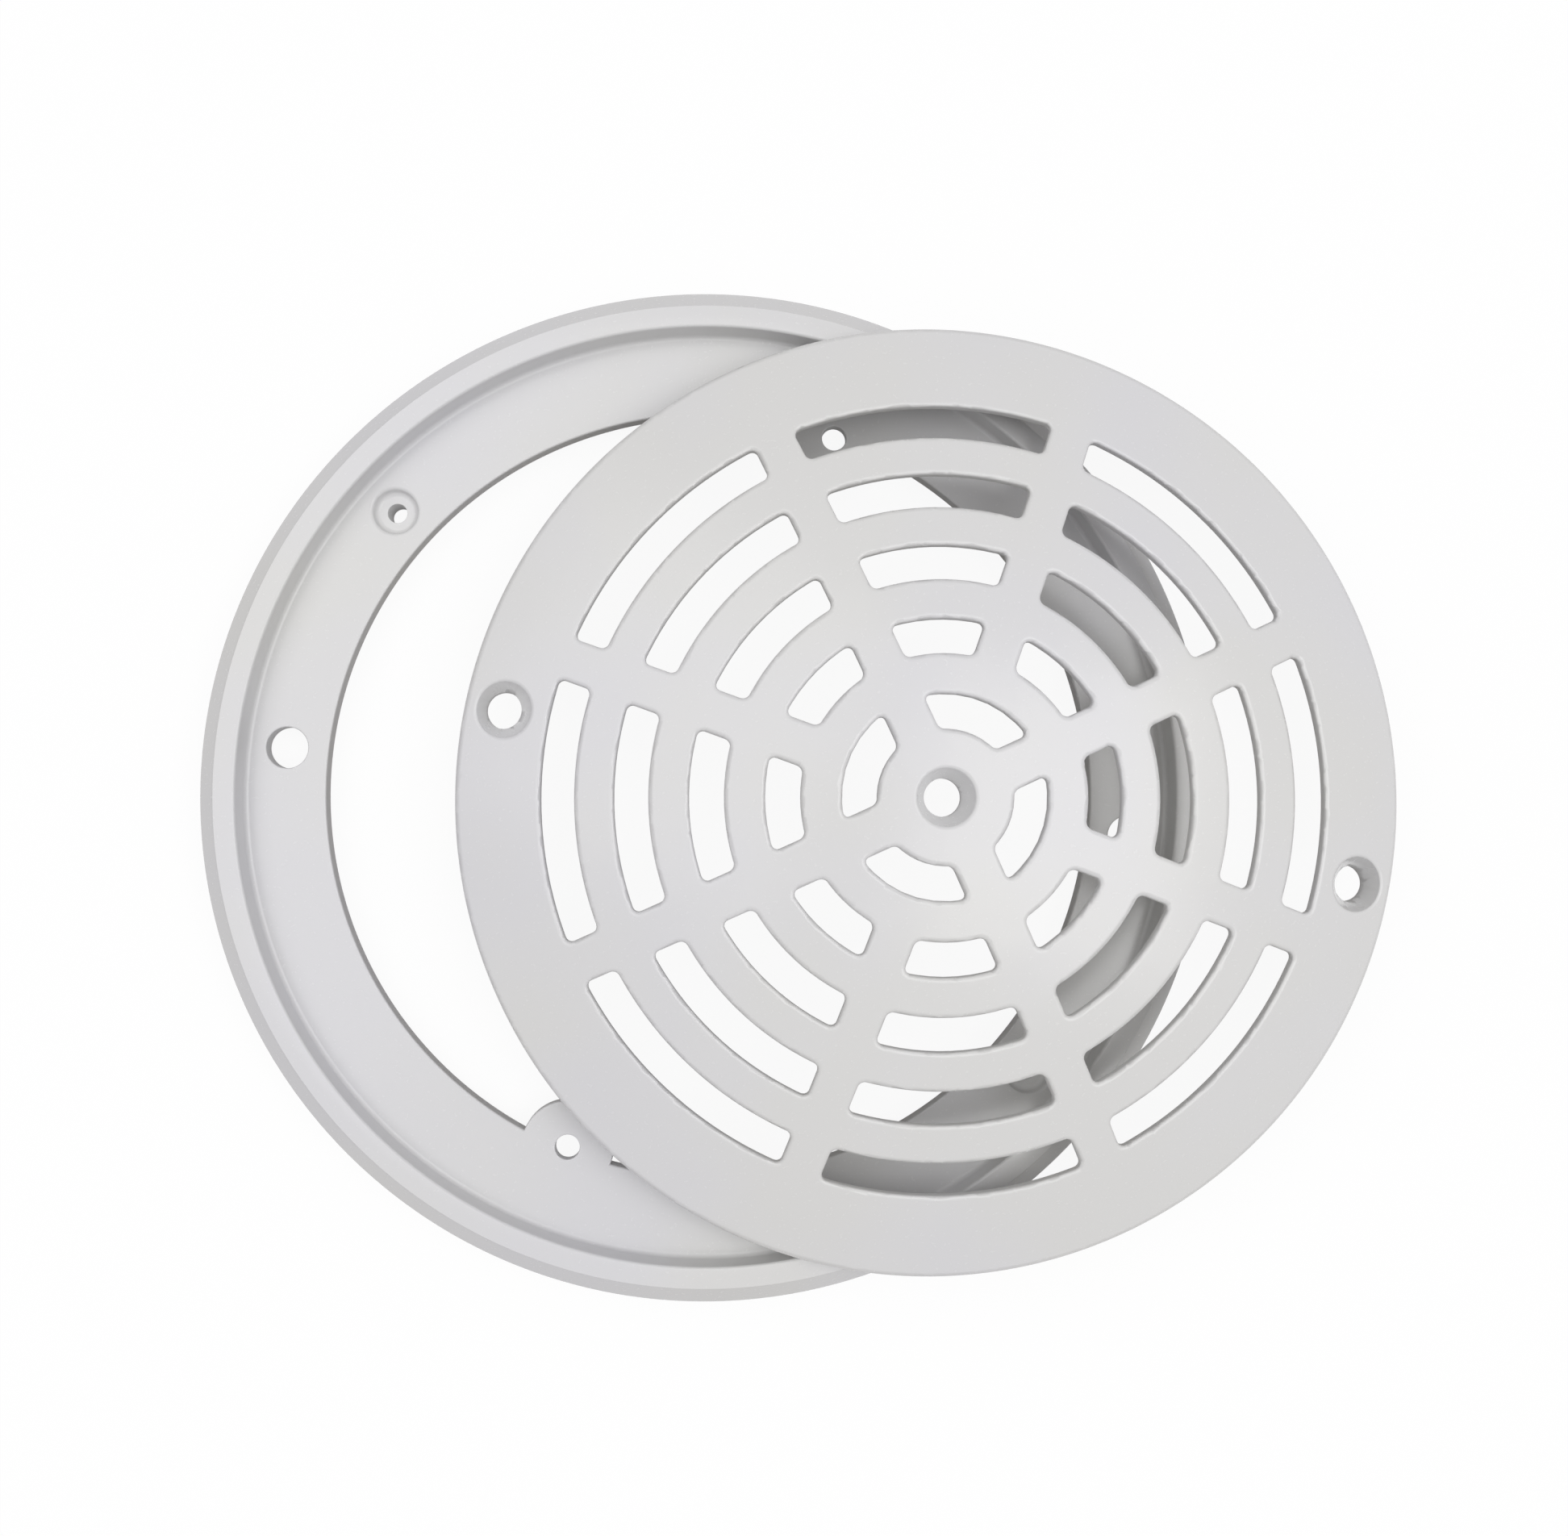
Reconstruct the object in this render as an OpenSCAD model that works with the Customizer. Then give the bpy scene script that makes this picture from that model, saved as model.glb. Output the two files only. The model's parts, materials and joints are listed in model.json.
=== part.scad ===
// Main drain cover for a swimming pool: a domed round grate and the round
// mounting frame that it screws into. The grate lies on the frame's rim,
// slid to one side, so both pieces can be seen. Millimetres, +Z up, origin
// at the centre of the frame on its underside.

/* [Grate] */
// Outside diameter of the grate
grate_d = 200; // [190:1:230]
// Rise of the dome from the top of the rim to the crown
dome_rise = 17.4; // [10:0.2:25]
// Height of the outer edge of the rim above the seat
edge_h = 6; // [4:0.2:9]
// Thickness of the domed plate
plate_t = 2.8; // [2:0.1:4]
// Width of the flat seat under the rim
seat_w = 8; // [6.5:0.5:9]
// Radius of the rounding along the top of the rim
rim_round = 1.6; // [0.6:0.2:2.4]

/* [Slots] */
// Number of rings of slots
slot_rings = 5; // [3:1:5]
// Inner radius of the first ring of slots
slot_start_r = 13.7; // [13:0.1:15]
// Width of the solid band outside the last ring of slots
rim_band_w = 18.5; // [17:0.1:22]
// Width of a slot
slot_w = 7; // [5:0.1:8]
// Number of spokes, of which every second one crosses the first ring
spoke_count = 8; // [6:2:10]
// Width of a spoke
spoke_w = 8.7; // [6:0.1:10]
// Radius of the slots' corners
slot_corner_r = 1.4; // [0.8:0.1:1.8]

/* [Grate screws] */
// Distance from the edge of the grate to the centres of its two rim screws
screw_inset = 7.925; // [7:0.025:9]
// Angle of the first rim screw from a spoke
screw_angle = 9; // [6:0.5:14]
// Diameter of the screw clearance holes
screw_hole_d = 7.8; // [5:0.1:8.4]
// Diameter at the top of the countersinks
sink_d = 13; // [10:0.5:14]
// Depth from the surface to the bottom of a countersink
sink_depth = 5; // [3:0.5:5.5]
// Diameter of the two bosses under the rim
rim_boss_d = 14; // [13.5:0.5:18]
// Diameter of the boss under the crown
hub_boss_d = 19; // [17:0.5:22]
// Height of the hub from the crown to the underside of its boss
hub_boss_h = 8; // [7.2:0.2:10]

/* [Frame] */
// Gap all round between the grate and the recess that it drops into
fit_gap = 0.4; // [0.3:0.1:1.6]
// Depth of the recess
recess_depth = 6.55; // [5:0.05:9]
// Height of the recess floor above the frame's underside
floor_h = 7.75; // [6:0.05:10]
// Thickness of the recess floor
floor_t = 4.5; // [3:0.1:5]
// Width of the flat top of the frame's rim
land_w = 4.6; // [3:0.2:6]
// Height of the small step outside the flat top
step_h = 0.5; // [0.3:0.1:0.8]
// Width of the sloping shoulder outside the step
shoulder_w = 4.1; // [3:0.1:6]
// Drop of the sloping shoulder
shoulder_drop = 3.8; // [2:0.2:5]
// Width of the recess floor, from its wall to the opening
floor_w = 17.2; // [16.8:0.2:22]
// Thickness of the upright walls of the frame
wall_t = 2.8; // [2:0.1:3]
// Radius in the corner between the recess wall and its floor
recess_fillet = 1; // [0.6:0.2:2]
// Radius of the rounding along the edges of the flat top
land_round = 0.5; // [0.4:0.1:1.2]

/* [Frame holes] */
// Diameter of the two tapping holes for the grate's screws
tap_hole_d = 4.2; // [3:0.1:5]
// Diameter of the round pockets around the tapping holes
pocket_d = 9.8; // [8:0.2:11]
// Depth of the round pockets
pocket_depth = 2.2; // [1:0.1:2.8]
// Angle from the tabs to the tapping holes
tap_angle = 69; // [60:1:75]
// Diameter of the bosses under the tapping holes
tap_boss_d = 14; // [13:0.5:15]
// Diameter of the two anchor holes
anchor_hole_d = 8.9; // [6:0.1:10]
// Angle from the tabs to the anchor holes
anchor_angle = 104.5; // [90:0.5:120]
// Diameter of the bosses under the anchor holes
anchor_boss_d = 16; // [14.5:0.5:18]
// Distance from the edge of the opening in to the centres of the tab holes
tab_inset = 0.65; // [0:0.05:1.5]
// Turn of each tab off the diameter, both to the same side of it
tab_skew = 1.7; // [0:0.1:3]
// Diameter of the tab holes
tab_hole_d = 5.3; // [4:0.1:7]
// Diameter of the round end of a tab
tab_d = 20; // [16:0.5:24]
// Thickness of a tab
tab_t = 2.8; // [2:0.1:3.5]

/* [Arrangement] */
// Direction of the frame's first tab
frame_turn = 69.5; // [0:0.5:180]
// Direction of the grate's first spoke
grate_turn = 159.5; // [0:0.5:360]
// Sideways shift of the grate from the frame's centre
grate_shift = 46.5; // [38:0.5:50]
// Shift of the grate at right angles to that
grate_side_shift = -1.3; // [-6:0.1:6]

/* [Hidden] */
$fn = 180;
plastic = [0.87, 0.87, 0.86];
// How far a cut runs past a face
over = 1;
// A rounding is this much larger than its named radius, so it crosses both
// sides of its corner at a clear angle
ease = 1.01;
grate_r = grate_d / 2;
crown_z = edge_h + dome_rise;
// A sphere through the crown and the top edge of the rim
dome_r = (grate_r * grate_r + dome_rise * dome_rise) / (2 * dome_rise);
dome_z = crown_z - dome_r;
seat_r = grate_r - seat_w;
screw_r = grate_r - screw_inset;
slot_pitch = (grate_r - rim_band_w - slot_w - slot_start_r) / (slot_rings - 1);
recess_r = grate_r + fit_gap;
land_r = recess_r + land_w;
frame_r = land_r + shoulder_w;
frame_h = floor_h + recess_depth;
opening_r = recess_r - floor_w;
tab_r = opening_r - tab_inset;
shoulder_top_z = frame_h - step_h;
skirt_z = shoulder_top_z - shoulder_drop;
skirt_r = frame_r - wall_t;
recess_back_r = recess_r + wall_t;
groove_top_z = skirt_z - wall_t / 2;

function unit(a) = [cos(a), sin(a)];
function dome_top(r) = dome_z + sqrt(dome_r * dome_r - r * r);

// What a rounding of radius r takes off a corner. The rounding's centre is
// at p, and it meets the two sides in the directions a and b.
module corner_cut(p, a, b, r) {
    difference() {
        polygon([p, p + ease * r * a, p + 1.6 * r * (a + b), p + ease * r * b]);
        translate(p) circle(r = ease * r);
    }
}

// Half section of the solid dome, from the axis to the rounded rim
module dome_section() {
    round_r = dome_r - rim_round;
    round_x = grate_r - rim_round;
    round_z = dome_z + sqrt(round_r * round_r - round_x * round_x);
    slope = atan2(round_z - dome_z, round_x);
    difference() {
        intersection() {
            square([grate_r, crown_z + over]);
            translate([0, dome_z]) circle(r = dome_r, $fn = 1440);
        }
        corner_cut([round_x, round_z], unit(slope), unit(0), rim_round);
    }
}

// Half section of a screw's clearance hole and countersink, under a surface
// at height z
module screw_section(z) {
    hole_r = screw_hole_d / 2;
    slant = (sink_d / 2 - hole_r) / sink_depth;
    sink_z = z - sink_depth;
    top_z = z + edge_h;
    polygon([
        [0, -over],
        [hole_r, -over],
        [hole_r, sink_z],
        [hole_r + slant * (top_z - sink_z), top_z],
        [0, top_z]
    ]);
}

// The domed plate, with its hub and the thicker rim that ends in the flat seat
module dome_shell() {
    rotate_extrude()
        difference() {
            dome_section();
            difference() {
                intersection() {
                    translate([0, -over]) square([seat_r, crown_z]);
                    translate([0, dome_z]) circle(r = dome_r - plate_t, $fn = 1440);
                }
                translate([0, crown_z - hub_boss_h]) square([hub_boss_d / 2, hub_boss_h]);
            }
            screw_section(crown_z);
        }
}

// One slot, centred on +X, with its ends parallel to the spokes beside it
module slot_outline(r_in, spokes) {
    r_out = r_in + slot_w;
    half = 180 / spokes;
    reach = spoke_w / 2 + slot_corner_r;
    difference() {
        circle(r = r_out);
        circle(r = r_in);
        for (side = [-1, 1])
            rotate(side * half)
                translate([-over - r_out, -spoke_w / 2])
                    square([2 * (r_out + over), spoke_w]);
        rotate(half) translate([-2 * r_out, 0]) square([4 * r_out, 2 * r_out]);
        rotate(-half) translate([-2 * r_out, -2 * r_out]) square([4 * r_out, 2 * r_out]);
        for (side = [-1, 1])
            for (end = [-1, 1]) {
                r_mid = (end > 0 ? r_out : r_in) - end * slot_corner_r;
                turn = side * (half - asin(reach / r_mid));
                corner_cut(r_mid * unit(turn), end * unit(turn),
                           unit(side * (half + 90)), slot_corner_r);
            }
    }
}

// A ring of equal slots between the spokes
module slot_ring(r_in, spokes) {
    for (i = [0:spokes - 1])
        rotate((i + 0.5) * 360 / spokes)
            translate([0, 0, -over])
                linear_extrude(height = crown_z + 2 * over)
                    slot_outline(r_in, spokes);
}

// Places what follows at both ends of a diameter of a piece
module at_pair(angle, r) {
    for (side = [0, 180])
        rotate(angle + side) translate([r, 0, 0]) children();
}

// Places what follows at both tabs, which stand a little off a diameter. They
// are moved and not turned, so their tops stay exactly level with the floor.
module at_tabs() {
    for (side = [1, -1])
        translate([side * tab_r * cos(tab_skew), tab_r * sin(tab_skew), 0]) children();
}

module grate_piece() {
    difference() {
        union() {
            dome_shell();
            intersection() {
                rotate_extrude() dome_section();
                at_pair(screw_angle, screw_r) cylinder(d = rim_boss_d, h = crown_z);
            }
        }
        rotate(360 / spoke_count) slot_ring(slot_start_r, spoke_count / 2);
        for (i = [1:slot_rings - 1])
            slot_ring(slot_start_r + i * slot_pitch, spoke_count);
        at_pair(screw_angle, screw_r)
            rotate_extrude() screw_section(dome_top(screw_r));
    }
}

// Half section of the frame: outer skirt, rim, recess, floor and inner lip
module frame_section() {
    difference() {
        polygon([
            [opening_r, 0],
            [frame_r, 0],
            [frame_r, skirt_z],
            [land_r, shoulder_top_z],
            [land_r, frame_h],
            [recess_r, frame_h],
            [recess_r, floor_h],
            [opening_r, floor_h]
        ]);
        corner_cut([recess_r + land_round, frame_h - land_round],
                   unit(90), unit(180), land_round);
        // Hollow under the floor, and the groove behind the recess wall
        translate([opening_r + wall_t, -over])
            square([skirt_r - opening_r - wall_t, floor_h - floor_t + over]);
        translate([recess_back_r, -over])
            square([skirt_r - recess_back_r, groove_top_z + over]);
    }
    // Fillet between the recess wall and the floor
    difference() {
        translate([recess_r - recess_fillet, floor_h - over])
            square([recess_fillet + over, recess_fillet + over]);
        translate([recess_r - recess_fillet, floor_h + recess_fillet])
            circle(r = ease * recess_fillet);
    }
}

module frame_piece() {
    // The bosses stand on the frame's underside and end inside the floor
    boss_h = floor_h - floor_t / 2;
    difference() {
        union() {
            rotate_extrude() frame_section();
            at_tabs()
                translate([0, 0, floor_h - tab_t]) cylinder(d = tab_d, h = tab_t);
            at_pair(tap_angle, screw_r) cylinder(d = tap_boss_d, h = boss_h);
            at_pair(anchor_angle, screw_r) cylinder(d = anchor_boss_d, h = boss_h);
        }
        at_tabs()
            translate([0, 0, -over]) cylinder(d = tab_hole_d, h = floor_h + 2 * over);
        at_pair(tap_angle, screw_r) {
            translate([0, 0, -over]) cylinder(d = tap_hole_d, h = floor_h + 2 * over);
            translate([0, 0, floor_h - pocket_depth])
                cylinder(d = pocket_d, h = pocket_depth + over);
        }
        at_pair(anchor_angle, screw_r)
            translate([0, 0, -over]) cylinder(d = anchor_hole_d, h = floor_h + 2 * over);
    }
}

module mounting_frame() {
    color(plastic) rotate(frame_turn) frame_piece();
}

module grate() {
    color(plastic)
        translate([grate_shift, grate_side_shift, frame_h])
            rotate(grate_turn) grate_piece();
}

mounting_frame();
grate();
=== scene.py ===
"""Pool main drain cover: a domed slotted grate lying on its round mounting frame.

Both pieces are modelled flat or as a half section first, at a thousandth of a
metre to the unit, and are brought to their real size and place at the end.
"""

import json
import math

import bmesh
import bpy
from bpy.props import FloatProperty, FloatVectorProperty, IntProperty, PointerProperty
from mathutils import Matrix, Vector


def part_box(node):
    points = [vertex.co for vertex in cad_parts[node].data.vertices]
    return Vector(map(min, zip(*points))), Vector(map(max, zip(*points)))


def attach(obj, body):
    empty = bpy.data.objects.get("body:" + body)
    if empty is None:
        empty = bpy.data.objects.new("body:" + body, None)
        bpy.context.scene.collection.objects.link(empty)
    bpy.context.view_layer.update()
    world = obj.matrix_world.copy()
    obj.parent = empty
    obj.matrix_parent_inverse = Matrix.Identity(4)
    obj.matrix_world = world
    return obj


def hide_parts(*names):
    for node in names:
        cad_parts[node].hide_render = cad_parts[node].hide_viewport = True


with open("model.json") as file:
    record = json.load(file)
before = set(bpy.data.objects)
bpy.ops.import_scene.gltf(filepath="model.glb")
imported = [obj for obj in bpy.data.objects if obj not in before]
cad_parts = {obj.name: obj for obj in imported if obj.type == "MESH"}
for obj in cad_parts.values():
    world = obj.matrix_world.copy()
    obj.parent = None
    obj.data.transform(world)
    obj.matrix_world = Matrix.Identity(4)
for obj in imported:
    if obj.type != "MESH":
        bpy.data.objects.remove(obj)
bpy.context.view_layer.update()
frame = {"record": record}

bl_info = {
    "name": "Pool main drain cover",
    "version": (1, 0, 0),
    "blender": (4, 5, 0),
    "location": "View3D > Sidebar > Drain cover",
    "description": "Builds a domed drain grate, its mounting frame and a plain stage",
    "category": "Object",
}

# One millimetre in metres: pieces are modelled in millimetres
MM = 0.001
# Steps round a full turn: 9 and 18 degrees are whole numbers of steps
TURN_STEPS = 320
# Steps round a hole or a boss, and round a tab
HOLE_STEPS = 64
TAB_STEPS = 96
# A cut or a joined solid runs this far past a face, in millimetres
OVER = 1.0
# Small enough to sort points by place, in millimetres
NEAR = 0.01
# The rounded top of a cutter ends this far under the surface, in millimetres
SHAVE = 0.002

MOUNTS = {mount["name"]: mount for mount in frame["record"]["mounts"]}
GRATE_LOW, GRATE_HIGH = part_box("grate")
FRAME_LOW, FRAME_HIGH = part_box("mounting_frame")


def mount_radius(name):
    """Radius of a mount's circle of holes, in metres"""
    return MOUNTS[name]["dims"]["pcd_mm"] / 2 * MM


def hole_radius(name):
    """Radius of a mount's holes, in metres"""
    return MOUNTS[name]["dims"]["hole_r_mm"] * MM


def length(default, name, description):
    """A size in metres, shown in the scene's own unit"""
    return FloatProperty(
        name=name, description=description, default=default, min=0, unit="LENGTH",
        precision=4)


def colour(hex_value, name, description):
    """A colour given as sRGB hex"""
    return FloatVectorProperty(
        name=name, description=description, subtype="COLOR", size=4, min=0, max=1,
        default=linear(hex_value))


def linear(hex_value):
    """Linear RGBA of an sRGB hex colour such as "#dcdcda" """
    channels = [int(hex_value[i:i + 2], 16) / 255 for i in (1, 3, 5)]
    return [c / 12.92 if c <= 0.04045 else ((c + 0.055) / 1.055) ** 2.4
            for c in channels] + [1.0]


class GrateSizes(bpy.types.PropertyGroup):
    """Sizes of the domed grate"""
    centre: FloatVectorProperty(
        name="Centre", description="Where the grate's axis stands", size=2,
        subtype="TRANSLATION", default=MOUNTS["grate_hub_hole"]["pos_m"][:2])
    seat_z: length(GRATE_LOW.z, "Seat height", "Height of the grate's flat seat")
    radius: length((GRATE_HIGH.x - GRATE_LOW.x) / 2, "Radius", "Outside radius")
    dome_rise: length(0.0174, "Dome rise", "From the top of the rim to the crown")
    edge_height: length(0.006, "Edge height", "Height of the outer edge")
    plate: length(0.00285, "Plate", "Thickness of the domed plate")
    seat_width: length(0.008, "Seat width", "Width of the flat seat under the rim")
    turn: FloatProperty(
        name="Turn", description="Direction of the first spoke", subtype="ANGLE",
        default=math.radians(159.5))
    spokes: IntProperty(name="Spokes", description="Number of spokes", default=8)
    spoke_width: length(0.0087, "Spoke width", "Between the slots beside it")
    rings: IntProperty(name="Rings", description="Rings of slots", default=5)
    first_ring: length(0.0137, "First ring", "Inner radius of the first ring")
    ring_pitch: length(0.0152, "Ring pitch", "From one ring to the next")
    slot_width: length(0.0070, "Slot width", "Across a slot")
    slot_corner: length(0.0014, "Slot corner", "Radius of the slots' corners")
    slot_edge: length(0.00105, "Slot edge", "Rounding along the top of a slot")
    rim_edge: length(0.0013, "Rim edge", "Rounding along the top of the rim")
    screw_angle: FloatProperty(
        name="Screw angle", description="First rim screw, from the first spoke",
        subtype="ANGLE", default=math.radians(9))
    screw_circle: length(
        mount_radius("grate_screw_holes"), "Screw circle", "Radius of the screw circle")
    screw_hole: length(hole_radius("grate_screw_holes"), "Screw hole", "Radius")
    sink_radius: length(0.0060, "Countersink", "Radius at its top")
    sink_depth: length(0.005, "Countersink depth", "Down to the plain hole")
    sink_edge: length(0.0005, "Countersink edge", "Rounding along its top")
    rim_boss: length(0.0064, "Rim boss", "Radius of the bosses under the rim")
    hub_boss: length(0.0095, "Hub boss", "Radius of the boss under the crown")
    hub_height: length(0.008, "Hub height", "From the crown to the boss's foot")


class FrameSizes(bpy.types.PropertyGroup):
    """Sizes of the mounting frame"""
    outer: length(FRAME_HIGH.x, "Outside radius", "At the foot of the skirt")
    height: length(FRAME_HIGH.z, "Height", "From the underside to the rim's top")
    turn: FloatProperty(
        name="Turn", description="Direction of the first tab", subtype="ANGLE",
        default=math.radians(69.5))
    recess: length(0.1004, "Recess radius", "Of the wall round the grate's recess")
    floor_z: length(0.00775, "Floor height", "Top of the recess floor")
    floor: length(0.0045, "Floor thickness", "Of the recess floor")
    opening: length(0.0832, "Opening radius", "Of the opening for the water")
    brink: length(0.0036, "Brink", "Height of the upright face round the opening")
    draft: length(0.0016, "Draft", "How far the lip leans back below the brink")
    land: length(0.0046, "Land", "Width of the flat top of the rim")
    crown: length(0.00012, "Crown", "Rise of the flat top at its middle")
    step: length(0.0005, "Step", "Height of the step outside the flat top")
    shoulder_drop: length(0.0038, "Shoulder drop", "Of the sloping shoulder")
    wall: length(0.0028, "Wall", "Thickness of the upright walls")
    tab_circle: length(0.08255, "Tab circle", "From the centre to the tab holes")
    tab_skew: FloatProperty(
        name="Tab skew", description="Turn of each tab off the diameter",
        subtype="ANGLE", default=math.radians(1.7))
    tab_radius: length(0.010, "Tab radius", "Of a tab's round end")
    tab: length(0.0028, "Tab thickness", "Of a tab")
    tab_hole: length(hole_radius("tab_holes"), "Tab hole", "Radius")
    screw_circle: length(
        mount_radius("anchor_holes"), "Screw circle", "Of the holes in the floor")
    anchor_angle: FloatProperty(
        name="Anchor angle", description="From the first tab to an anchor hole",
        subtype="ANGLE", default=math.radians(104.5))
    anchor_hole: length(hole_radius("anchor_holes"), "Anchor hole", "Radius")
    anchor_boss: length(0.0072, "Anchor boss", "Radius of the boss below the hole")
    tap_angle: FloatProperty(
        name="Tapping angle", description="From the first tab to a tapping hole",
        subtype="ANGLE", default=math.radians(69))
    tap_hole: length(hole_radius("tapping_holes"), "Tapping hole", "Radius")
    tap_boss: length(0.007, "Tapping boss", "Radius of the boss below the hole")
    pocket: length(0.0049, "Pocket", "Radius of the pocket round a tapping hole")
    pocket_depth: length(0.0022, "Pocket depth", "Of the round pocket")


class PlasticFinish(bpy.types.PropertyGroup):
    """Finish of the white plastic"""
    main: colour("#dedede", "Main colour", "Plain white of the plastic")
    cool: colour("#dddddf", "Cool colour", "Where the plastic looks cooler")
    warm: colour("#dededc", "Warm colour", "Where the plastic looks warmer")
    roughness: FloatProperty(
        name="Roughness", description="Of the moulded surface", default=0.24,
        min=0, max=1)
    wall_dullness: FloatProperty(
        name="Wall dullness", description="Added roughness of the upright walls",
        default=0.4, min=0, max=0.7)


class StageLook(bpy.types.PropertyGroup):
    """Floor and surround"""
    backdrop: colour("#ffffff", "Backdrop", "Colour of the floor and the backdrop")
    ground: colour("#63584a", "Ground", "Colour that the floor casts up on the object")
    surround: colour("#f6f4f6", "Surround", "Colour of the light from all round")
    surround_strength: FloatProperty(
        name="Surround strength", description="Strength of the light from all round",
        default=0.53, min=0)
    shade: FloatProperty(
        name="Shadow", description="Share of the floor that takes shadow", default=0.08,
        min=0, max=1)


def start_from(adder, name, **settings):
    """Adds one primitive with nothing else selected and enters edit mode"""
    bpy.ops.object.select_all(action="DESELECT")
    adder(location=(0, 0, 0), **settings)
    piece = bpy.context.object
    piece.name = name
    piece.data.name = name
    bpy.ops.object.mode_set(mode="EDIT")
    # A lone point can be selected only in this mode
    bpy.ops.mesh.select_mode(type="VERT")
    return piece


def choose(kind, test):
    """In edit mode, selects just the points or edges (VERT, EDGE) that pass a test"""
    bpy.ops.mesh.select_mode(type=kind)
    bpy.ops.mesh.select_all(action="DESELECT")
    mesh = bpy.context.edit_object.data
    shape = bmesh.from_edit_mesh(mesh)
    parts = {"VERT": shape.verts, "EDGE": shape.edges}[kind]
    parts.index_update()
    for part in parts:
        if test(part):
            part.select_set(True)
    shape.select_flush_mode()
    bmesh.update_edit_mesh(mesh)


def reach(point):
    """Distance of a point from the Z axis"""
    return math.hypot(point.x, point.y)


def push(x=0.0, z=0.0):
    """Extrudes what is selected by a step in X and Z"""
    bpy.ops.mesh.extrude_region_move(TRANSFORM_OT_translate={"value": (x, 0, z)})


def widen(factor, drop=0.0):
    """Extrudes the selected loop by a step in Z and a change of radius round Z"""
    push(z=drop)
    bpy.ops.transform.resize(value=(factor, factor, 1), center_override=(0, 0, 0))


def enter_edit(piece):
    """Into edit mode with one piece"""
    only(piece)
    bpy.ops.object.mode_set(mode="EDIT")


def all_outward():
    """Merges doubles and turns every face outward"""
    bpy.ops.mesh.select_all(action="SELECT")
    bpy.ops.mesh.remove_doubles(threshold=NEAR / 10)
    bpy.ops.mesh.normals_make_consistent(inside=False)


def leave_edit():
    """Back to object mode"""
    bpy.ops.object.mode_set(mode="OBJECT")


def only(piece):
    """Makes one piece the only selected and active one"""
    bpy.ops.object.select_all(action="DESELECT")
    piece.select_set(True)
    bpy.context.view_layer.objects.active = piece


def settle(piece):
    """Applies a piece's place, turn and size to its mesh"""
    only(piece)
    bpy.ops.object.transform_apply(location=True, rotation=True, scale=True)


def finish_with(piece, kind, **settings):
    """Adds a modifier with its settings and applies it"""
    only(piece)
    modifier = piece.modifiers.new(kind.lower(), kind)
    for key, value in settings.items():
        setattr(modifier, key, value)
    bpy.ops.object.modifier_apply(modifier=modifier.name)


def cut(piece, tool, operation="DIFFERENCE"):
    """Combines a piece with a tool solid, merges doubles and deletes the tool"""
    finish_with(piece, "BOOLEAN", object=tool, operation=operation, solver="EXACT")
    bpy.data.objects.remove(tool)
    enter_edit(piece)
    bpy.ops.mesh.select_all(action="SELECT")
    bpy.ops.mesh.remove_doubles(threshold=NEAR / 2)
    leave_edit()


def one_flat(height, seams):
    """In edit mode, dissolves the radial edges of a flat ring at a height, so that
    cuts meet few faces; it stays split at the angles of the seams"""
    def on_seam(point):
        angle = math.atan2(point.y, point.x)
        return any(abs(math.remainder(angle - seam, math.tau)) < 1e-3 for seam in seams)

    def radial(e):
        a, b = (v.co for v in e.verts)
        flat = abs(a.z - height) < NEAR and abs(b.z - height) < NEAR
        far = a if reach(a) > reach(b) else b
        return flat and abs(reach(a) - reach(b)) > OVER and not on_seam(far)

    choose("EDGE", radial)
    bpy.ops.mesh.dissolve_edges(use_verts=False)


def joined(pieces):
    """Joins several solids into the first"""
    bpy.ops.object.select_all(action="DESELECT")
    for piece in pieces:
        piece.select_set(True)
    bpy.context.view_layer.objects.active = pieces[0]
    bpy.ops.object.join()
    return pieces[0]


def copy_turned(piece, angles):
    """The piece and copies of its mesh, turned round Z by each angle"""
    made = []
    for angle in angles:
        twin = piece.copy()
        twin.data = piece.data.copy()
        bpy.context.collection.objects.link(twin)
        twin.rotation_euler = (0, 0, angle)
        settle(twin)
        made.append(twin)
    bpy.data.objects.remove(piece)
    return joined(made)


def lathe(name, section, steps=TURN_STEPS):
    """Spins a closed half section round Z. Each of its points is a radius, a height
    and, where the corner is rounded, how far along both sides the rounding goes."""
    piece = start_from(bpy.ops.mesh.primitive_plane_add, name, size=1)
    bpy.ops.mesh.merge(type="CENTER")
    first = section[0]
    bpy.ops.transform.translate(value=(first[0], 0, first[1]))
    for here, there in zip(section, section[1:]):
        push(x=there[0] - here[0], z=there[1] - here[1])
    bpy.ops.mesh.select_all(action="SELECT")
    bpy.ops.mesh.edge_face_add()
    for radius, height, *rounding in section:
        if rounding:
            choose("VERT", lambda v: math.hypot(
                v.co.x - radius, v.co.z - height) < NEAR)
            bpy.ops.mesh.bevel(offset=rounding[0], segments=5, affect="VERTICES")
    bpy.ops.mesh.select_all(action="SELECT")
    bpy.ops.mesh.delete(type="ONLY_FACE")
    bpy.ops.mesh.select_all(action="SELECT")
    bpy.ops.mesh.spin(
        steps=steps, angle=math.tau, center=(0, 0, 0), axis=(0, 0, 1),
        use_auto_merge=True)
    all_outward()
    bpy.ops.mesh.delete_loose(use_faces=False)
    leave_edit()
    return piece


def finish_shading(piece, angle=35):
    """Smooth curves, crisp corners, and flats that stay flat"""
    only(piece)
    bpy.ops.object.shade_smooth_by_angle(angle=math.radians(angle))
    finish_with(piece, "WEIGHTED_NORMAL", mode="FACE_AREA", weight=60, keep_sharp=True)


def place(piece, centre, seat_z, turn):
    """Turns a piece modelled in millimetres, scales it to metres and sets it down"""
    piece.matrix_world = (
        Matrix.Translation((centre[0], centre[1], seat_z))
        @ Matrix.Rotation(turn, 4, "Z") @ Matrix.Scale(MM, 4))
    settle(piece)


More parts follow.
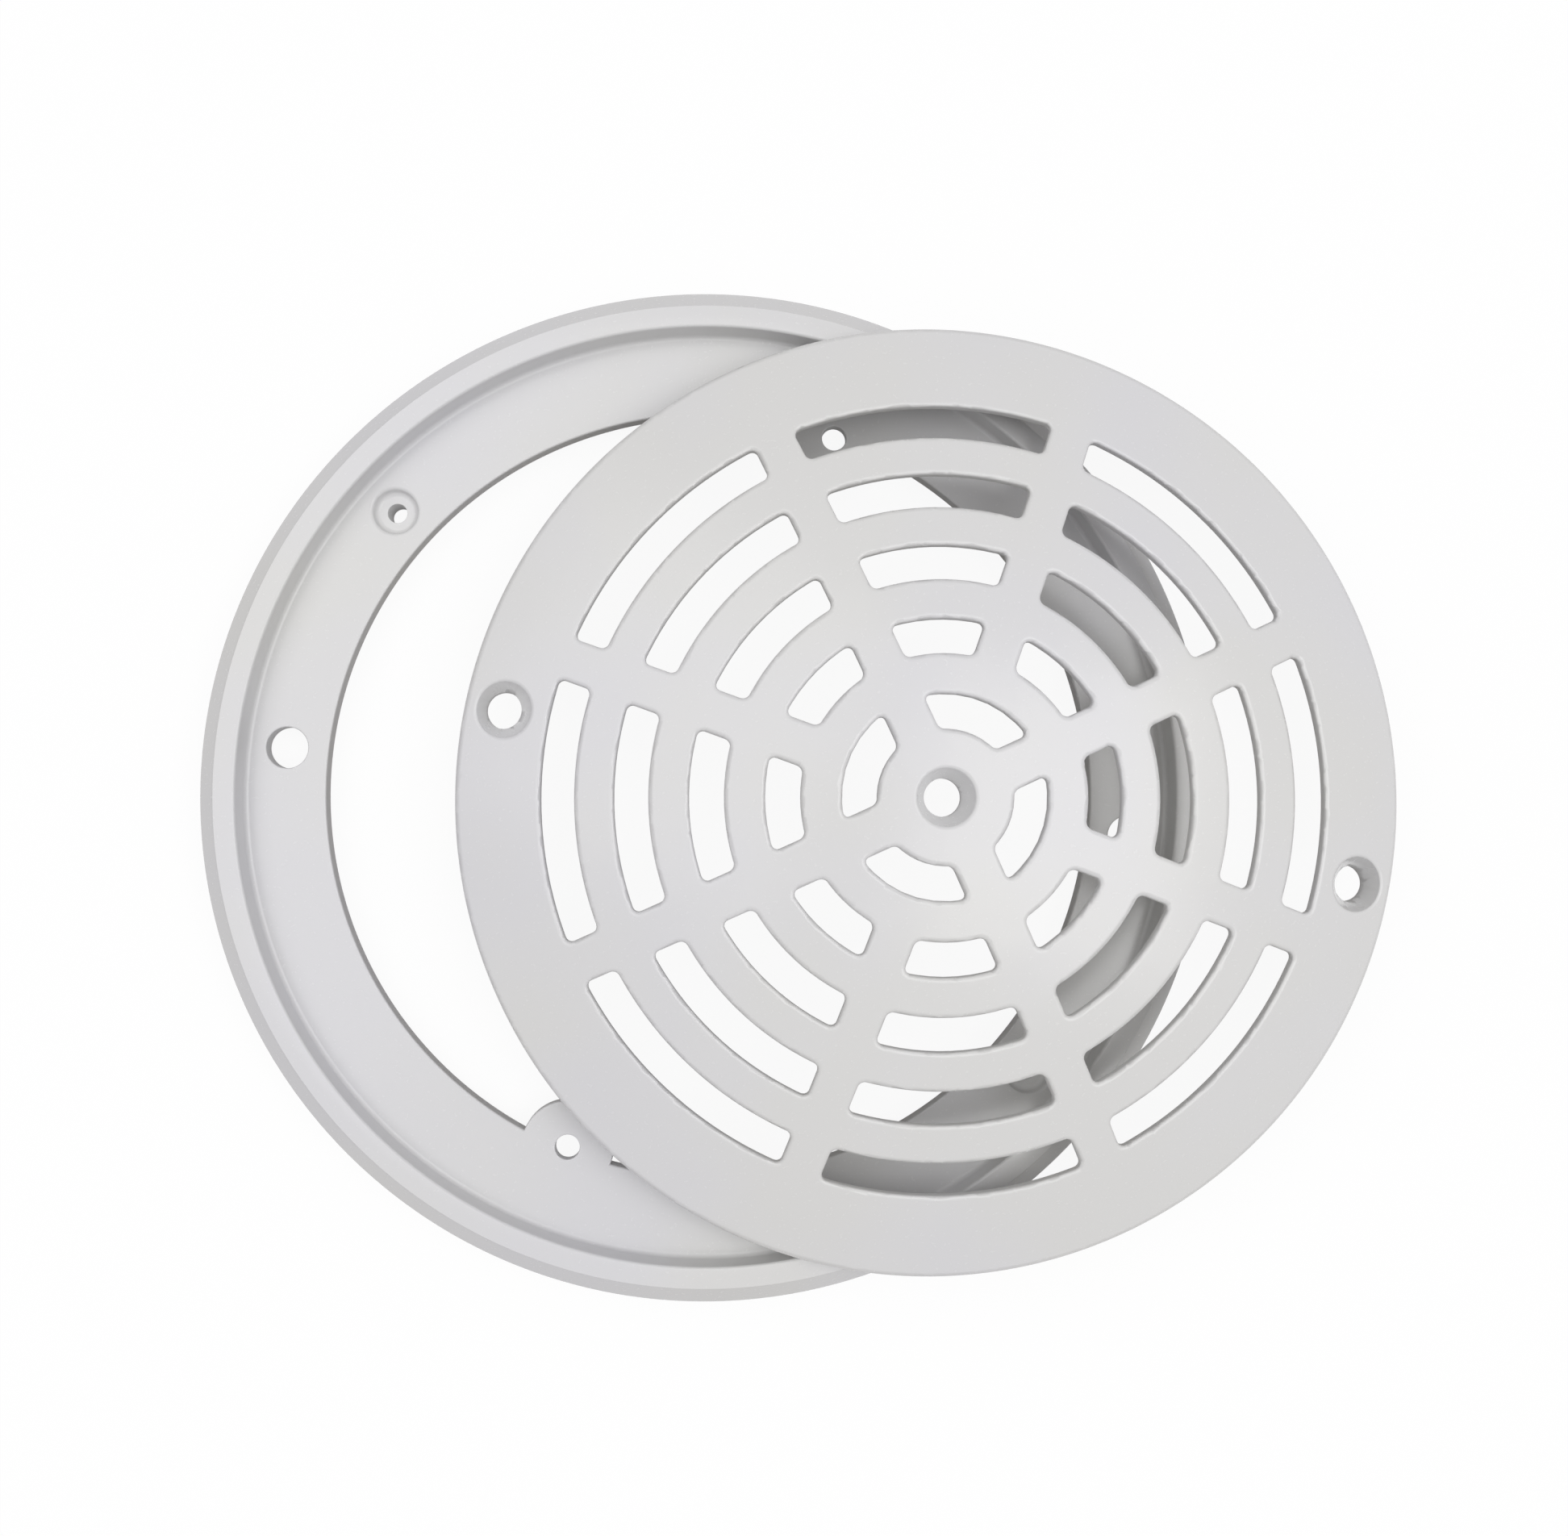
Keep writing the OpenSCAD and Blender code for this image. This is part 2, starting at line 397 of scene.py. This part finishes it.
def slot_tool(inner, width, corner, spoke, between):
    """Cutter for one slot, centred on +X: a bar with slanted ends and round corners,
    bent round Z. The slanted ends become parallel to the spokes beside the slot."""
    outer = inner + width
    middle = inner + width / 2
    half_spoke = spoke / 2
    ends = {r: between / 2 - math.asin(half_spoke / r) for r in (inner, middle, outer)}
    bar = middle * 2 * ends[middle]
    cell = 2.3
    # From well below the plate to well above it
    low, high = -20, 10
    piece = start_from(
        bpy.ops.mesh.primitive_grid_add, "slot_tool", size=1,
        x_subdivisions=max(4, int(bar / cell)), y_subdivisions=1)
    bpy.ops.transform.resize(value=(bar, width, 1), center_override=(0, 0, 0))
    for side, radius in ((1, inner), (-1, outer)):
        choose("VERT", lambda v: v.co.y * side > 0)
        bpy.ops.transform.resize(
            value=(ends[radius] / ends[middle], 1, 1), center_override=(0, 0, 0))
    choose("VERT", lambda v: len(v.link_edges) == 2)
    bpy.ops.mesh.bevel(offset=corner, segments=5, affect="VERTICES")
    bpy.ops.mesh.select_all(action="SELECT")
    bpy.ops.transform.translate(value=(0, 0, low))
    push(z=high - low)
    all_outward()
    leave_edit()
    spread = max(v.co.x for v in piece.data.vertices) * 2
    finish_with(
        piece, "SIMPLE_DEFORM", deform_method="BEND", deform_axis="Z",
        angle=spread / middle)
    # The bend's centre is one middle radius away along Y, and the slot faces it
    piece.matrix_world = (
        Matrix.Rotation(math.pi / 2, 4, "Z") @ Matrix.Translation((0, -middle, 0)))
    settle(piece)
    return piece


class DRAIN_OT_grate(bpy.types.Operator):
    """Model the domed grate with its slots, seat, bosses and countersinks"""
    bl_idname = "drain.grate"
    bl_label = "Grate"

    def execute(self, context):
        sizes = context.scene.drain_grate
        piece = grate_blank(sizes)
        cut_slots(piece, sizes)
        add_rim_bosses(piece, sizes)
        cut_screw_holes(piece, sizes)
        round_edges(piece, sizes)
        dome(piece, sizes)
        finish_shading(piece)
        place(piece, sizes.centre, sizes.seat_z, sizes.turn)
        piece.data.materials.clear()
        piece.data.materials.append(moulded_abs(context.scene.drain_finish))
        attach(piece, "root")
        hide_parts("grate")
        return {"FINISHED"}


def dome_height(sizes, radius):
    """Height that the dome adds at a radius, in millimetres"""
    share = radius / (sizes.radius / MM)
    return sizes.dome_rise / MM * (1 - share * share)


def grate_blank(sizes):
    """The grate before it is domed: flat on top, with its seat and its hub below"""
    radius = sizes.radius / MM
    edge = sizes.edge_height / MM
    plate = sizes.plate / MM
    seat_radius = radius - sizes.seat_width / MM
    hub = sizes.hub_boss / MM
    gap = math.tau / sizes.spokes
    # The top is split only where slots will be and through the rim screws
    seams = [gap * (2 * i + side) for i in range(sizes.spokes // 2)
             for side in (-0.4, 0.4)]
    seams += [sizes.screw_angle, sizes.screw_angle + math.pi]

    piece = start_from(
        bpy.ops.mesh.primitive_circle_add, "drain_grate", vertices=TURN_STEPS,
        radius=radius, fill_type="TRIFAN")
    one_flat(0, seams)
    choose("EDGE", lambda e: len(e.link_faces) == 1)
    push(z=-edge)
    widen(seat_radius / radius, -dome_height(sizes, seat_radius))
    push(z=edge + dome_height(sizes, seat_radius) - plate)
    widen(hub / seat_radius)
    push(z=plate - sizes.hub_height / MM)
    bpy.ops.mesh.edge_face_add()
    one_flat(-plate, seams)
    all_outward()
    leave_edit()
    return piece


def cut_slots(piece, sizes):
    """Cuts the rings of slots. The first ring has half as many, each across a spoke's
    line, and the others have one in every gap between spokes."""
    tools = []
    for ring in range(sizes.rings):
        count = sizes.spokes // 2 if ring == 0 else sizes.spokes
        between = math.tau / count
        tool = slot_tool(
            (sizes.first_ring + ring * sizes.ring_pitch) / MM, sizes.slot_width / MM,
            sizes.slot_corner / MM, sizes.spoke_width / MM, between)
        start = 0 if ring == 0 else between / 2
        tools.append(copy_turned(tool, [start + between * i for i in range(count)]))
    cut(piece, joined(tools))


def rim_screw_places(sizes):
    """Angle and centre of each rim screw, in millimetres"""
    circle = sizes.screw_circle / MM
    for side in (0, math.pi):
        angle = sizes.screw_angle + side
        yield angle, Vector((circle * math.cos(angle), circle * math.sin(angle), 0))


def add_rim_bosses(piece, sizes):
    """Adds the bosses under the rim screws, cut to the rim's outline"""
    foot = -sizes.edge_height / MM - dome_height(sizes, 0)
    bosses = []
    for _, centre in rim_screw_places(sizes):
        boss = lathe("rim_boss", [
            (0, foot), (sizes.rim_boss / MM, foot),
            (sizes.rim_boss / MM, -OVER), (0, -OVER)], HOLE_STEPS)
        boss.location = centre
        settle(boss)
        bosses.append(boss)
    outline = lathe("rim_outline", [
        (0, foot - OVER), (sizes.radius / MM - NEAR, foot - OVER),
        (sizes.radius / MM - NEAR, 0), (0, 0)])
    boss_pair = joined(bosses)
    cut(boss_pair, outline, "INTERSECT")
    cut(piece, boss_pair, "UNION")


def screw_tool(sizes, lean, bottom):
    """Cutter for a countersunk hole, whose wide top leans towards the crown"""
    hole = sizes.screw_hole / MM
    edge = sizes.sink_edge / MM
    tool = lathe("screw_tool", [
        (0, bottom), (hole, bottom), (hole, -sizes.sink_depth / MM),
        *flare(sizes.sink_radius / MM, 0, edge)], HOLE_STEPS)
    enter_edit(tool)
    choose("VERT", lambda v: v.co.z > -edge * 2)
    bpy.ops.transform.translate(value=(-lean, 0, 0))
    leave_edit()
    return tool


def cut_screw_holes(piece, sizes):
    """Cuts the countersunk holes of the hub and the rim"""
    bottom = -sizes.edge_height / MM - dome_height(sizes, 0) - OVER
    tools = [screw_tool(sizes, 0, bottom)]
    # On the sloping rim the sink's outline reaches further up the slope
    slope = 2 * sizes.dome_rise * sizes.screw_circle / sizes.radius ** 2
    slant = (sizes.sink_radius - sizes.screw_hole) / sizes.sink_depth
    lean = sizes.sink_radius / MM * slant * slope
    for angle, centre in rim_screw_places(sizes):
        tool = screw_tool(sizes, lean, bottom)
        tool.rotation_euler = (0, 0, angle)
        tool.location = centre
        settle(tool)
        tools.append(tool)
    cut(piece, joined(tools))


def round_edges(piece, sizes):
    """Rounds the slots' edges and the rim, then cuts all faces into small cells"""
    radius = sizes.radius / MM
    plate = sizes.plate / MM
    first, last = sizes.first_ring / MM, radius - sizes.seat_width / MM
    enter_edit(piece)
    all_outward()

    def slot_rim(e, height):
        if any(abs(v.co.z - height) > NEAR for v in e.verts):
            return False
        if not all(first - OVER < reach(v.co) < last - OVER for v in e.verts):
            return False
        return len(e.link_faces) == 2 and e.calc_face_angle(0) > math.radians(60)

    def at_screw(e):
        return any((v.co.xy - c.xy).length < sizes.rim_boss / MM + OVER
                   for _, c in rim_screw_places(sizes) for v in e.verts)

    choose("EDGE", lambda e: slot_rim(e, 0) and not at_screw(e))
    bpy.ops.mesh.bevel(offset=sizes.slot_edge / MM, segments=4)
    choose("EDGE", lambda e: slot_rim(e, -plate) and not at_screw(e))
    bpy.ops.mesh.bevel(offset=sizes.slot_edge / MM / 2, segments=2)
    choose("EDGE", lambda e: all(
        abs(v.co.z) < NEAR and reach(v.co) > radius - NEAR for v in e.verts))
    bpy.ops.mesh.bevel(offset=sizes.rim_edge / MM, segments=5)
    cell = 4.0
    # Off centre, so that no cut runs along a seam
    offset = 0.37
    count = int(radius / cell)
    for normal in (Vector((1, 0, 0)), Vector((0, 1, 0))):
        for i in range(-count, count + 1):
            bpy.ops.mesh.select_all(action="SELECT")
            bpy.ops.mesh.bisect(
                plane_co=normal * (i + offset) * cell, plane_no=normal,
                threshold=NEAR / 10)
    leave_edit()


def dome(piece, sizes):
    """Domes the flat grate, then makes its seat and the feet of its bosses flat"""
    edge = sizes.edge_height / MM
    rise = sizes.dome_rise / MM
    radius = sizes.radius / MM
    seat_radius = radius - sizes.seat_width / MM
    hub_foot = -sizes.hub_height / MM
    enter_edit(piece)
    seat = numbers_where(
        lambda v: v.co.z < -edge + NEAR and reach(v.co) > seat_radius / 2)
    feet = numbers_where(
        lambda v: v.co.z < hub_foot + NEAR and reach(v.co) < sizes.hub_boss / MM + OVER)
    # A speck at the centre is lifted, and the rest follows it along a parabola
    bpy.ops.mesh.select_all(action="DESELECT")
    bpy.ops.mesh.primitive_plane_add(size=0.001, location=(0, 0, 0))
    bpy.ops.transform.translate(
        value=(0, 0, rise), use_proportional_edit=True,
        proportional_edit_falloff="INVERSE_SQUARE", proportional_size=radius)
    bpy.ops.mesh.delete(type="VERT")
    for points, height in ((seat, -edge), (feet, rise + hub_foot)):
        choose("VERT", lambda v: v.index in points)
        bpy.ops.transform.resize(value=(1, 1, 0), center_override=(0, 0, height))
    bpy.ops.mesh.select_all(action="SELECT")
    bpy.ops.transform.translate(value=(0, 0, edge))
    bpy.ops.mesh.remove_doubles(threshold=NEAR / 10)
    leave_edit()


def numbers_where(test):
    """Numbers of the vertices of the mesh in edit mode that pass a test"""
    shape = bmesh.from_edit_mesh(bpy.context.edit_object.data)
    shape.verts.index_update()
    return {v.index for v in shape.verts if test(v)}


class DRAIN_OT_mounting_frame(bpy.types.Operator):
    """Model the mounting frame with its rim, recess, tabs and holes"""
    bl_idname = "drain.mounting_frame"
    bl_label = "Mounting frame"

    def execute(self, context):
        sizes = context.scene.drain_frame
        piece = frame_ring(sizes)
        add_tabs(piece, sizes)
        cut_frame_holes(piece, sizes)
        finish_shading(piece, angle=30)
        place(piece, (0, 0), 0, sizes.turn)
        piece.data.materials.clear()
        piece.data.materials.append(moulded_abs(context.scene.drain_finish))
        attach(piece, "root")
        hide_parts("mounting_frame")
        return {"FINISHED"}


def frame_ring(sizes):
    """The ring of the frame: skirt, shoulder, rim, recess, floor and lip"""
    outer, opening = sizes.outer / MM, sizes.opening / MM
    recess, wall = sizes.recess / MM, sizes.wall / MM
    land = recess + sizes.land / MM
    top, floor_z = sizes.height / MM, sizes.floor_z / MM
    shoulder = top - sizes.step / MM
    skirt = shoulder - sizes.shoulder_drop / MM
    under = floor_z - sizes.floor / MM
    groove = skirt - wall / 2
    low_top = top - sizes.crown / MM
    lip_back = [
        (opening + sizes.draft / MM, 0, 0.4), (opening + wall, 0),
        (opening + wall, under),
    ]
    groove_and_skirt = [
        (recess + wall, under), (recess + wall, groove), (outer - wall, groove),
        (outer - wall, 0), (outer, 0), (outer, skirt, 0.5),
    ]
    rim = [
        (land, shoulder, 0.08), (land, low_top, 0.15), ((land + recess) / 2, top),
        (recess, low_top, 0.6),
    ]
    recess_and_brink = [
        (recess, floor_z, 1.0), (opening, floor_z, 0.4),
        (opening, floor_z - sizes.brink / MM, 0.3),
    ]
    piece = lathe(
        "drain_mounting_frame", lip_back + groove_and_skirt + rim + recess_and_brink)
    # Split between the tabs and the holes
    seams = [math.pi / 4 + math.pi / 2 * i for i in range(4)]
    enter_edit(piece)
    one_flat(floor_z, seams)
    one_flat(under, seams)
    leave_edit()
    return piece


def pair_places(angle, circle):
    """The two places at both ends of a diameter, in millimetres"""
    for side in (0, math.pi):
        yield Vector((circle / MM * math.cos(angle + side),
                      circle / MM * math.sin(angle + side), 0))


def tab_places(sizes):
    """The places of the two tabs, each a little off the diameter, in millimetres"""
    circle = sizes.tab_circle / MM
    for angle in (sizes.tab_skew, math.pi - sizes.tab_skew):
        yield Vector((circle * math.cos(angle), circle * math.sin(angle), 0))


def set_down(make, places):
    """One solid at each of the places"""
    made = []
    for spot in places:
        solid = make()
        solid.location = spot
        settle(solid)
        made.append(solid)
    return made


def add_tabs(piece, sizes):
    """Adds the two tabs and the bosses under the holes"""
    floor_z = sizes.floor_z / MM
    tab_low = floor_z - sizes.tab / MM
    inside = floor_z - sizes.floor / MM / 2

    def tab():
        r = sizes.tab_radius / MM
        return lathe("tab", [
            (0, tab_low), (r, tab_low, 0.3), (r, floor_z, 0.45), (0, floor_z)],
            TAB_STEPS)

    def boss(r):
        return lathe("boss", [(0, 0), (r, 0), (r, inside), (0, inside)], HOLE_STEPS)

    solids = set_down(tab, tab_places(sizes))
    solids += set_down(lambda: boss(sizes.tap_boss / MM),
                       pair_places(sizes.tap_angle, sizes.screw_circle))
    solids += set_down(lambda: boss(sizes.anchor_boss / MM),
                       pair_places(sizes.anchor_angle, sizes.screw_circle))
    cut(piece, joined(solids), "UNION")


def flare(radius, high, edge):
    """Top of a cutter's section: it widens just under the surface at height high,
    where its corner is rounded, so that the cut hole gets a rounded rim"""
    lip = radius + edge * 1.02
    return [(radius, high - SHAVE, edge), (lip, high - SHAVE), (lip, high + OVER),
            (0, high + OVER)]


def cut_frame_holes(piece, sizes):
    """Cuts the tab and anchor holes, and the tapping holes with their pockets"""
    floor_z = sizes.floor_z / MM
    # The tab holes keep their width for this depth
    tab_depth = 2.5
    # Holes are wider below, so that their own wall is as short as the photo shows it
    relief, relief_slope = 1.7, 0.8

    def plain(radius, edge, depth):
        wide, low = radius + relief, floor_z - depth
        return lathe("hole_tool", [
            (0, -OVER), (wide, -OVER), (wide, low - relief_slope), (radius, low),
            *flare(radius, floor_z, edge)], HOLE_STEPS)

    def tapping():
        hole, pocket = sizes.tap_hole / MM, sizes.pocket / MM
        pocket_z = floor_z - sizes.pocket_depth / MM
        taper = 0.4
        return lathe("tapping_tool", [
            (0, -OVER), (hole, -OVER), (hole, pocket_z, 0.15),
            (pocket - taper, pocket_z, 0.9), *flare(pocket, floor_z, 0.6)], HOLE_STEPS)

    tools = set_down(
        lambda: plain(sizes.tab_hole / MM, 0.25, tab_depth), tab_places(sizes))
    tools += set_down(lambda: plain(sizes.anchor_hole / MM, 0.3, sizes.brink / MM),
                      pair_places(sizes.anchor_angle, sizes.screw_circle))
    tools += set_down(tapping, pair_places(sizes.tap_angle, sizes.screw_circle))
    cut(piece, joined(tools))


def add_node(tree, kind, settings=None, **links):
    """Adds a shader node, sets its properties and sets or links its inputs"""
    made = tree.nodes.new(kind)
    for key, value in (settings or {}).items():
        setattr(made, key, value)
    for key, value in links.items():
        socket = made.inputs[key.replace("_", " ")]
        if isinstance(value, bpy.types.NodeSocket):
            tree.links.new(value, socket)
        else:
            socket.default_value = value
    return made


def moulded_abs(finish):
    """Injection-moulded white ABS: an even body colour under a semi-gloss skin. Slow
    sink marks bend the reflections, and a fine grain from the tool's polish breaks
    them up."""
    name = "white_abs_moulded"
    if name in bpy.data.materials:
        return bpy.data.materials[name]
    material = bpy.data.materials.new(name)
    material.use_nodes = True
    tree = material.node_tree
    tree.nodes.clear()
    coordinates = add_node(tree, "ShaderNodeTexCoord")
    position = coordinates.outputs["Object"]
    # Sink marks some 30 mm apart
    sinks = add_node(
        tree, "ShaderNodeTexNoise", Vector=position, Scale=1 / 0.030, Detail=1.0)
    # Flow of the melt: patches some 60 mm across, barely cooler or warmer
    flow = add_node(
        tree, "ShaderNodeTexNoise", Vector=position, Scale=1 / 0.060, Detail=2.0)
    tint = add_node(tree, "ShaderNodeValToRGB", Fac=flow.outputs["Fac"])
    stops = tint.color_ramp.elements
    stops[0].position, stops[0].color = 0.38, finish.cool
    stops[1].position, stops[1].color = 0.62, finish.warm
    middle = stops.new(0.5)
    middle.color = finish.main
    # Polish of the tool: the real grain is too fine to show, so it is drawn at 0.8 mm
    grain = add_node(
        tree, "ShaderNodeTexNoise", Vector=position, Scale=1 / 0.0008, Detail=2.0)
    polish = add_node(
        tree, "ShaderNodeMapRange", Value=grain.outputs["Fac"], From_Min=0.3,
        From_Max=0.7, To_Min=finish.roughness - 0.04, To_Max=finish.roughness + 0.04)
    # The upright walls slide out of the tool, so they are duller than the faces
    facing = add_node(
        tree, "ShaderNodeSeparateXYZ", Vector=coordinates.outputs["Normal"])
    level = add_node(tree, "ShaderNodeMath", {"operation": "ABSOLUTE"})
    tree.links.new(facing.outputs["Z"], level.inputs[0])
    dull = add_node(
        tree, "ShaderNodeMapRange", Value=level.outputs["Value"], From_Min=0.08,
        From_Max=0.34, To_Min=finish.wall_dullness, To_Max=0.0)
    rough = add_node(tree, "ShaderNodeMath", {"operation": "ADD"})
    tree.links.new(polish.outputs["Result"], rough.inputs[0])
    tree.links.new(dull.outputs["Result"], rough.inputs[1])
    slow = add_node(
        tree, "ShaderNodeBump", Height=sinks.outputs["Fac"], Strength=0.25,
        Distance=0.0006)
    fine = add_node(
        tree, "ShaderNodeBump", Height=grain.outputs["Fac"], Strength=0.08,
        Distance=0.00002, Normal=slow.outputs["Normal"])
    skin = add_node(
        tree, "ShaderNodeBsdfPrincipled", Base_Color=tint.outputs["Color"],
        Roughness=rough.outputs["Value"], IOR=1.53, Normal=fine.outputs["Normal"])
    out = add_node(tree, "ShaderNodeOutputMaterial")
    tree.links.new(skin.outputs["BSDF"], out.inputs["Surface"])
    return material


def white_to_camera(look):
    """Matt backdrop: the camera and reflections see it as white, with a trace of the
    object's shadow left on it. It lights the object like a paved floor."""
    material = bpy.data.materials.new("matt_white_backdrop")
    material.use_nodes = True
    tree = material.node_tree
    tree.nodes.clear()
    paint = add_node(
        tree, "ShaderNodeBsdfDiffuse", Color=look.backdrop, Roughness=1.0)
    glow = add_node(
        tree, "ShaderNodeEmission", Color=look.backdrop, Strength=1.0)
    # The shadow's share fades out away from the object, so the floor has no horizon
    position = add_node(tree, "ShaderNodeTexCoord").outputs["Object"]
    away = add_node(tree, "ShaderNodeVectorMath", {"operation": "LENGTH"})
    tree.links.new(position, away.inputs[0])
    share = add_node(
        tree, "ShaderNodeMapRange", Value=away.outputs["Value"], From_Min=0.2,
        From_Max=0.8, To_Min=look.shade, To_Max=0.0)
    veil = add_node(tree, "ShaderNodeMixShader", Fac=share.outputs["Result"])
    tree.links.new(glow.outputs["Emission"], veil.inputs[1])
    tree.links.new(paint.outputs["BSDF"], veil.inputs[2])
    ground = add_node(
        tree, "ShaderNodeBsdfDiffuse", Color=look.ground, Roughness=1.0)
    both = add_node(tree, "ShaderNodeMixShader", Fac=seen_directly(tree))
    tree.links.new(ground.outputs["BSDF"], both.inputs[1])
    tree.links.new(veil.outputs["Shader"], both.inputs[2])
    out = add_node(tree, "ShaderNodeOutputMaterial")
    tree.links.new(both.outputs["Shader"], out.inputs["Surface"])
    return material


def seen_directly(tree):
    """1 for rays from the camera and for glossy and transmitted ones, else 0"""
    rays = add_node(tree, "ShaderNodeLightPath")
    total = rays.outputs["Is Camera Ray"]
    for kind in ("Is Glossy Ray", "Is Transmission Ray"):
        step = add_node(tree, "ShaderNodeMath", {"operation": "MAXIMUM"})
        tree.links.new(total, step.inputs[0])
        tree.links.new(rays.outputs[kind], step.inputs[1])
        total = step.outputs["Value"]
    return total


class DRAIN_OT_stage(bpy.types.Operator):
    """Set up the floor, the lamps, the world and the camera"""
    bl_idname = "drain.stage"
    bl_label = "Stage"

    def execute(self, context):
        look = context.scene.drain_stage
        make_floor(look)
        light_world(look)
        hang_lamps()
        context.scene.camera = set_camera()
        context.scene.view_settings.view_transform = "Standard"
        return {"FINISHED"}


def make_floor(look):
    """A wide white floor just under the frame"""
    floor = start_from(bpy.ops.mesh.primitive_plane_add, "floor", size=8)
    gap = 0.0002
    bpy.ops.transform.translate(value=(0, 0, -gap))
    leave_edit()
    floor.data.materials.append(white_to_camera(look))


def light_world(look):
    """An even pale surround, which the camera sees as white"""
    world = bpy.data.worlds.new("pale_surround")
    bpy.context.scene.world = world
    world.use_nodes = True
    tree = world.node_tree
    tree.nodes.clear()
    surround = add_node(
        tree, "ShaderNodeBackground", Color=look.surround,
        Strength=look.surround_strength)
    white = add_node(tree, "ShaderNodeBackground", Color=look.backdrop, Strength=1.0)
    both = add_node(tree, "ShaderNodeMixShader", Fac=seen_directly(tree))
    tree.links.new(surround.outputs["Background"], both.inputs[1])
    tree.links.new(white.outputs["Background"], both.inputs[2])
    out = add_node(tree, "ShaderNodeOutputWorld")
    tree.links.new(both.outputs["Shader"], out.inputs["Surface"])


def hang_lamps():
    """Two broad soft lamps overhead, at the upper left and at the right"""
    for name, spot, size, power in (
            ("window", (-0.6, 0.32, 1.35), 1.2, 5.4),
            ("ceiling", (0.62, -0.05, 1.35), 0.95, 7.0)):
        lamp = bpy.data.lights.new(name, "AREA")
        lamp.size = size
        lamp.energy = power
        holder = bpy.data.objects.new(name, lamp)
        holder.location = spot
        holder.rotation_euler = Vector(spot).to_track_quat("Z", "Y").to_euler()
        bpy.context.collection.objects.link(holder)


def set_camera():
    """The camera of the photograph, nearly straight above, set by how the grate's
    plane leans and by where its crown stands in the image"""
    image = Vector((1944, 1904))
    focal = 1700.0
    lean_x, lean_y = math.radians(2.56), math.radians(-1.70)
    crown_pixel = Vector((1174.2, 988.4))
    crown_depth = 0.2712
    sizes = bpy.context.scene.drain_grate
    crown = Vector((*sizes.centre, sizes.seat_z + sizes.edge_height + sizes.dome_rise))
    # The object's axes as the camera sees them: right, down and forward
    up = Vector((math.tan(lean_x), math.tan(lean_y), -1)).normalized()
    right = (Vector((1, 0, 0)) - up * up.x).normalized()
    away = up.cross(right)
    from_camera = Vector((
        (crown_pixel.x - image.x / 2) / focal,
        (crown_pixel.y - image.y / 2) / focal, 1)) * crown_depth

    def in_frame(v):
        return Vector((v.dot(right), v.dot(away), v.dot(up)))

    lens = bpy.data.cameras.new("photo_camera")
    lens.sensor_width = 36
    lens.lens = focal / image.x * lens.sensor_width
    lens.clip_start, lens.clip_end = 0.01, 50
    camera = bpy.data.objects.new("photo_camera", lens)
    sight = Matrix((in_frame(Vector((1, 0, 0))), in_frame(Vector((0, -1, 0))),
                    in_frame(Vector((0, 0, -1))))).transposed()
    camera.matrix_world = Matrix.Translation(
        crown - in_frame(from_camera)) @ sight.to_4x4()
    bpy.context.collection.objects.link(camera)
    return camera


class DRAIN_PT_panel(bpy.types.Panel):
    """Lists the steps in the order in which they run"""
    bl_label = "Drain cover"
    bl_idname = "DRAIN_PT_panel"
    bl_space_type = "VIEW_3D"
    bl_region_type = "UI"
    bl_category = "Drain cover"

    def draw(self, context):
        for step in (DRAIN_OT_mounting_frame, DRAIN_OT_grate, DRAIN_OT_stage):
            self.layout.operator(step.bl_idname)


GROUPS = {
    "drain_grate": GrateSizes,
    "drain_frame": FrameSizes,
    "drain_finish": PlasticFinish,
    "drain_stage": StageLook,
}
CLASSES = (*GROUPS.values(), DRAIN_OT_mounting_frame, DRAIN_OT_grate, DRAIN_OT_stage,
           DRAIN_PT_panel)


def register():
    for cls in CLASSES:
        bpy.utils.register_class(cls)
    for name, group in GROUPS.items():
        setattr(bpy.types.Scene, name, PointerProperty(type=group))


def unregister():
    for name in GROUPS:
        delattr(bpy.types.Scene, name)
    for cls in reversed(CLASSES):
        bpy.utils.unregister_class(cls)


def main():
    register()
    bpy.ops.drain.mounting_frame()
    bpy.ops.drain.grate()
    bpy.ops.drain.stage()
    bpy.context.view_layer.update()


if __name__ == "__main__":
    main()
